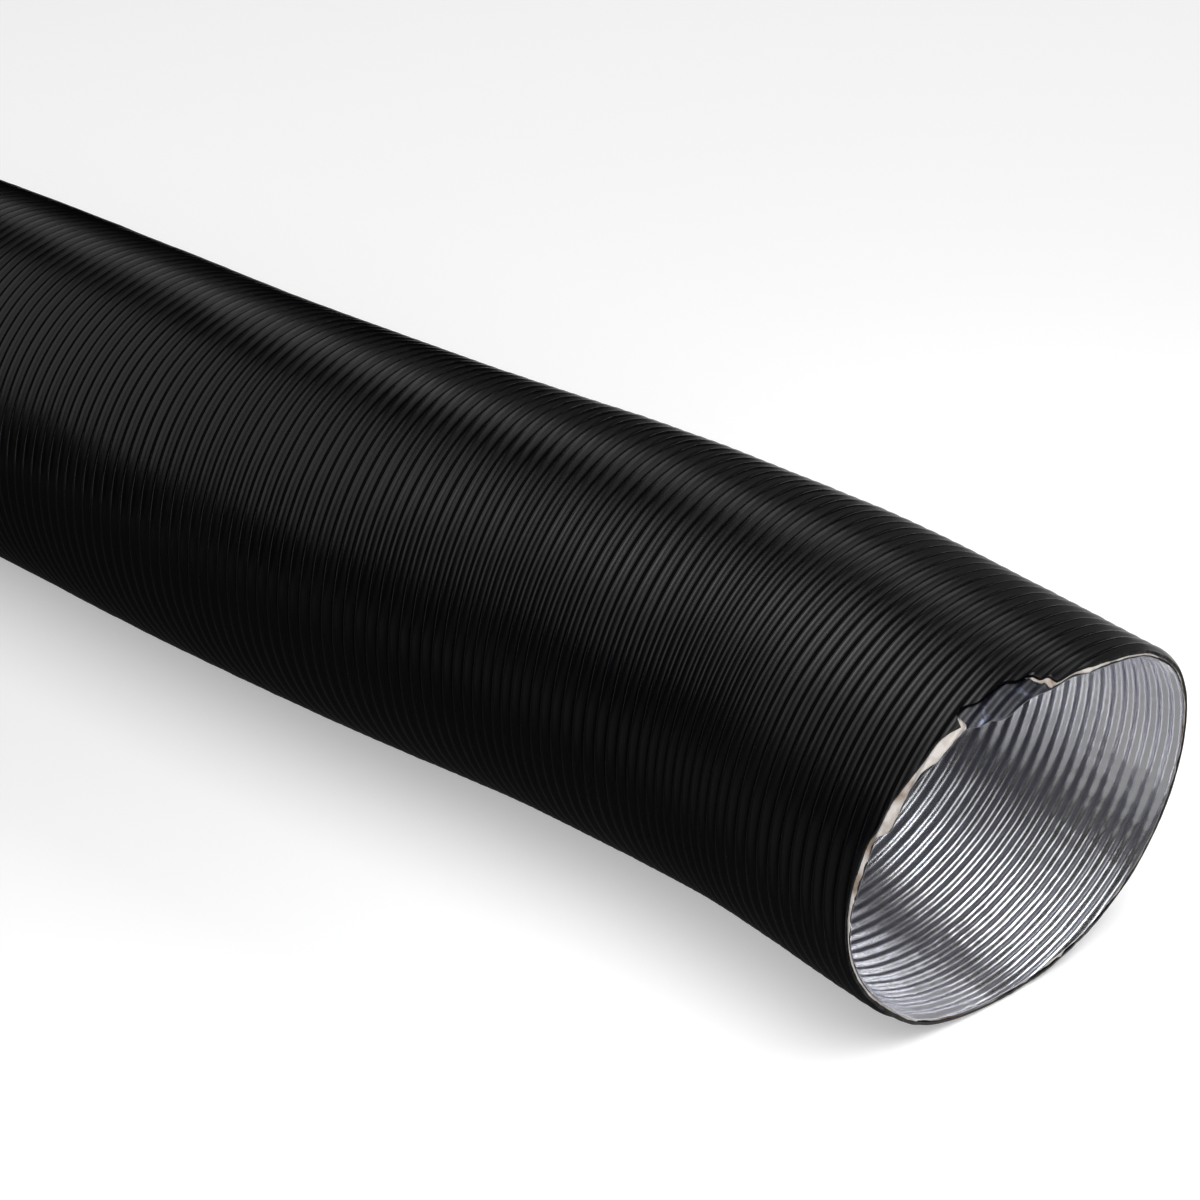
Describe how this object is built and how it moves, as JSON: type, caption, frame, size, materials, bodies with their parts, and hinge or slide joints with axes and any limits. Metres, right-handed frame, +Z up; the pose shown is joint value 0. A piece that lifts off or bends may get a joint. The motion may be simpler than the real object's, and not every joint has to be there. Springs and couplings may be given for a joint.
{
  "type": "flexible air duct",
  "caption": "Fine-ribbed flexible air duct with a black cover, a paper layer and an aluminium foil lining, open at both ends, that bends, lifts and stretches.",
  "frame": {"origin": "middle of the bore at the slanted mouth", "axes": "+X along the bore out of the mouth, +Z up from the surface that the duct lies on, +Y to the left of +X"},
  "size_m": [0.51, 0.1799, 0.0835],
  "materials": {
    "black_cover": "satin black coated ply, finely ribbed",
    "kraft_paper": "brown kraft paper, seen only at the cut ends",
    "aluminium_foil": "bright crumpled aluminium foil, finely ribbed"
  },
  "bodies": {
    "mouth_end": {"cover_sleeve_01": "black_cover", "paper_sleeve_01": "kraft_paper", "foil_sleeve_01": "aluminium_foil", "cover_bellows_01": "black_cover", "paper_bellows_01": "kraft_paper", "foil_bellows_01": "aluminium_foil"},
    "run_02": {"cover_sleeve_02": "black_cover", "paper_sleeve_02": "kraft_paper", "foil_sleeve_02": "aluminium_foil", "cover_bellows_02": "black_cover", "paper_bellows_02": "kraft_paper", "foil_bellows_02": "aluminium_foil"},
    "run_03": {"cover_sleeve_03": "black_cover", "paper_sleeve_03": "kraft_paper", "foil_sleeve_03": "aluminium_foil", "cover_bellows_03": "black_cover", "paper_bellows_03": "kraft_paper", "foil_bellows_03": "aluminium_foil"},
    "run_04": {"cover_sleeve_04": "black_cover", "paper_sleeve_04": "kraft_paper", "foil_sleeve_04": "aluminium_foil", "cover_bellows_04": "black_cover", "paper_bellows_04": "kraft_paper", "foil_bellows_04": "aluminium_foil"},
    "run_05": {"cover_sleeve_05": "black_cover", "paper_sleeve_05": "kraft_paper", "foil_sleeve_05": "aluminium_foil", "cover_bellows_05": "black_cover", "paper_bellows_05": "kraft_paper", "foil_bellows_05": "aluminium_foil"},
    "run_06": {"cover_sleeve_06": "black_cover", "paper_sleeve_06": "kraft_paper", "foil_sleeve_06": "aluminium_foil", "cover_bellows_06": "black_cover", "paper_bellows_06": "kraft_paper", "foil_bellows_06": "aluminium_foil"},
    "run_07": {"cover_sleeve_07": "black_cover", "paper_sleeve_07": "kraft_paper", "foil_sleeve_07": "aluminium_foil", "cover_bellows_07": "black_cover", "paper_bellows_07": "kraft_paper", "foil_bellows_07": "aluminium_foil"},
    "run_08": {"cover_sleeve_08": "black_cover", "paper_sleeve_08": "kraft_paper", "foil_sleeve_08": "aluminium_foil", "cover_bellows_08": "black_cover", "paper_bellows_08": "kraft_paper", "foil_bellows_08": "aluminium_foil"},
    "run_09": {"cover_sleeve_09": "black_cover", "paper_sleeve_09": "kraft_paper", "foil_sleeve_09": "aluminium_foil", "cover_bellows_09": "black_cover", "paper_bellows_09": "kraft_paper", "foil_bellows_09": "aluminium_foil"},
    "tail_end": {"cover_sleeve_10": "black_cover", "paper_sleeve_10": "kraft_paper", "foil_sleeve_10": "aluminium_foil"}
  },
  "joints": [
    {"name": "side_bend_1", "type": "hinge", "parent": "mouth_end", "child": "run_02", "pos_m": [-0.05224, -0.00052, 0], "axis": [0, 0, 1], "range_deg": [-30, 24], "deforming": ["cover_bellows_01", "paper_bellows_01", "foil_bellows_01"]},
    {"name": "lift_bend_1", "type": "hinge", "parent": "run_02", "child": "run_03", "pos_m": [-0.10119, -0.00771, 0], "axis": [-0.1934, 0.9811, 0], "range_deg": [-30, 30], "deforming": ["cover_bellows_02", "paper_bellows_02", "foil_bellows_02"]},
    {"name": "stretch_1", "type": "slide", "parent": "run_03", "child": "run_04", "axis": [-0.9763, -0.2164, 0], "range_m": [-0.006, 0.008], "deforming": ["cover_bellows_03", "paper_bellows_03", "foil_bellows_03"]},
    {"name": "side_bend_2", "type": "hinge", "parent": "run_04", "child": "run_05", "pos_m": [-0.19793, -0.02867, 0], "axis": [0, 0, 1], "range_deg": [-30, 24], "deforming": ["cover_bellows_04", "paper_bellows_04", "foil_bellows_04"]},
    {"name": "lift_bend_2", "type": "hinge", "parent": "run_05", "child": "run_06", "pos_m": [-0.24686, -0.03617, 0], "axis": [-0.1513, 0.9885, 0], "range_deg": [-30, 30], "deforming": ["cover_bellows_05", "paper_bellows_05", "foil_bellows_05"]},
    {"name": "side_bend_3", "type": "hinge", "parent": "run_06", "child": "run_07", "pos_m": [-0.29575, -0.04393, 0], "axis": [0, 0, 1], "range_deg": [-30, 30], "deforming": ["cover_bellows_06", "paper_bellows_06", "foil_bellows_06"]},
    {"name": "lift_bend_3", "type": "hinge", "parent": "run_07", "child": "run_08", "pos_m": [-0.34433, -0.05338, 0], "axis": [-0.219, 0.9757, 0], "range_deg": [-30, 30], "deforming": ["cover_bellows_07", "paper_bellows_07", "foil_bellows_07"]},
    {"name": "stretch_2", "type": "slide", "parent": "run_08", "child": "run_09", "axis": [-0.9605, -0.2782, 0], "range_m": [-0.006, 0.008], "deforming": ["cover_bellows_08", "paper_bellows_08", "foil_bellows_08"]},
    {"name": "side_bend_4", "type": "hinge", "parent": "run_09", "child": "tail_end", "pos_m": [-0.43939, -0.08084, 0], "axis": [0, 0, 1], "range_deg": [-30, 30], "deforming": ["cover_bellows_09", "paper_bellows_09", "foil_bellows_09"]}
  ],
  "couplings": [
    {"joint": "side_bend_2", "follows": "side_bend_1", "ratio": 1},
    {"joint": "side_bend_4", "follows": "side_bend_3", "ratio": 1},
    {"joint": "lift_bend_2", "follows": "lift_bend_1", "ratio": 1},
    {"joint": "lift_bend_3", "follows": "lift_bend_1", "ratio": 1},
    {"joint": "stretch_2", "follows": "stretch_1", "ratio": 1}
  ]
}
